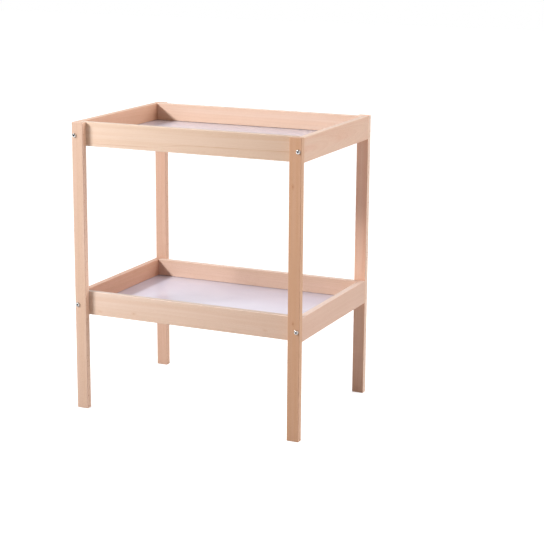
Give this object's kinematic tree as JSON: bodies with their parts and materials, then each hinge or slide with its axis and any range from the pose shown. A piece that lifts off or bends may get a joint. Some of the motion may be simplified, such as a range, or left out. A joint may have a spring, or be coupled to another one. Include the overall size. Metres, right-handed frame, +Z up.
{
  "type": "changing table",
  "caption": "Open beech changing table: flat legs carry a raised-edge changing tray on top and a storage tray below, each with a white shelf board.",
  "frame": {"origin": "on the floor under the middle of the table, between the four legs", "axes": "+Z up, +X towards the right-hand end seen from the front, -Y towards the front, where the user stands"},
  "size_m": [0.72, 0.53, 0.86],
  "materials": {
    "beech": "clear satin lacquer on solid beech",
    "white_board": "smooth white paint on thin fibreboard",
    "zinc_steel": "bright zinc plate",
    "dowel_beech": "raw beech"
  },
  "bodies": {
    "root": {"front_left_leg": "beech", "front_right_leg": "beech", "back_left_leg": "beech", "back_right_leg": "beech", "upper_front_rail": "beech", "upper_back_rail": "beech", "upper_left_rail": "beech", "upper_right_rail": "beech", "lower_front_rail": "beech", "lower_back_rail": "beech", "lower_left_rail": "beech", "lower_right_rail": "beech", "upper_shelf_board": "white_board", "lower_shelf_board": "white_board", "upper_leg_bolts": "zinc_steel", "lower_leg_bolts": "zinc_steel", "upper_barrel_nuts": "zinc_steel", "lower_barrel_nuts": "zinc_steel", "upper_corner_dowels": "dowel_beech", "lower_corner_dowels": "dowel_beech", "upper_leg_dowels": "dowel_beech", "lower_leg_dowels": "dowel_beech"}
  },
  "joints": []
}
